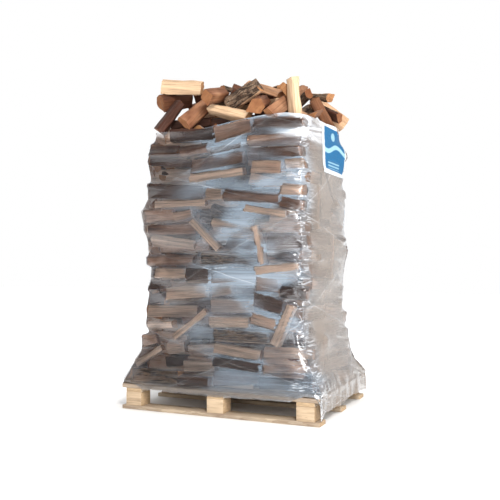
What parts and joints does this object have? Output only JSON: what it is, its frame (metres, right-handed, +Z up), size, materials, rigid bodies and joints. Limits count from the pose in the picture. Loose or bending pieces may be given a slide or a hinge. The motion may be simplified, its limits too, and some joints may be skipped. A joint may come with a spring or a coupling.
{
  "type": "pallet of firewood",
  "caption": "Wooden pallet stacked with split firewood logs, wrapped in clear stretch film with an open top and loose logs heaped above the film.",
  "frame": {"origin": "on the floor, under the middle of the pallet's middle bottom board", "axes": "+Z up, X along the long front of the pallet with +X to the right, front faces -Y"},
  "size_m": [1.2379, 0.912, 1.9629],
  "materials": {
    "sawn_pine": "rough sawn, weathered",
    "block_wood": "rough sawn, end grain to the sides",
    "split_wood": "split, some bark",
    "pale_split_wood": "freshly split",
    "stretch_film": "clear, glossy, hazy where it is loose",
    "label": "printed, semi-gloss"
  },
  "bodies": {
    "root": {"block_back_left": "block_wood", "block_back_middle": "block_wood", "block_back_right": "block_wood", "block_front_left": "block_wood", "block_front_middle": "block_wood", "block_front_right": "block_wood", "block_middle_left": "block_wood", "block_middle_middle": "block_wood", "block_middle_right": "block_wood", "bottom_board_back": "sawn_pine", "bottom_board_front": "sawn_pine", "bottom_board_middle": "sawn_pine", "cross_board_left": "sawn_pine", "cross_board_middle": "sawn_pine", "cross_board_right": "sawn_pine", "deck_board_1": "sawn_pine", "deck_board_2": "sawn_pine", "deck_board_3": "sawn_pine", "deck_board_4": "sawn_pine", "deck_board_5": "sawn_pine", "label": "label", "stacked_firewood": "split_wood", "stretch_film": "stretch_film", "top_log_01": "pale_split_wood", "top_log_02": "pale_split_wood", "top_log_03": "pale_split_wood", "top_log_04": "pale_split_wood", "top_log_05": "pale_split_wood", "top_log_06": "pale_split_wood", "top_log_07": "pale_split_wood", "top_log_08": "pale_split_wood", "top_log_09": "pale_split_wood", "top_log_10": "pale_split_wood", "top_log_11": "pale_split_wood", "top_log_12": "pale_split_wood", "top_log_13": "pale_split_wood", "top_log_14": "pale_split_wood", "top_log_15": "pale_split_wood", "top_log_16": "pale_split_wood", "top_log_17": "pale_split_wood", "top_log_18": "pale_split_wood", "top_log_19": "pale_split_wood", "top_log_20": "pale_split_wood", "top_log_21": "pale_split_wood", "top_log_22": "pale_split_wood", "top_log_23": "pale_split_wood", "top_log_24": "pale_split_wood", "top_log_25": "pale_split_wood", "top_log_26": "pale_split_wood", "top_log_27": "pale_split_wood", "top_log_28": "pale_split_wood", "top_log_29": "pale_split_wood", "top_log_30": "pale_split_wood", "top_log_31": "pale_split_wood", "top_log_32": "pale_split_wood", "top_log_33": "pale_split_wood", "top_log_34": "pale_split_wood", "top_log_35": "pale_split_wood", "top_log_36": "pale_split_wood", "top_log_37": "pale_split_wood"}
  },
  "joints": []
}
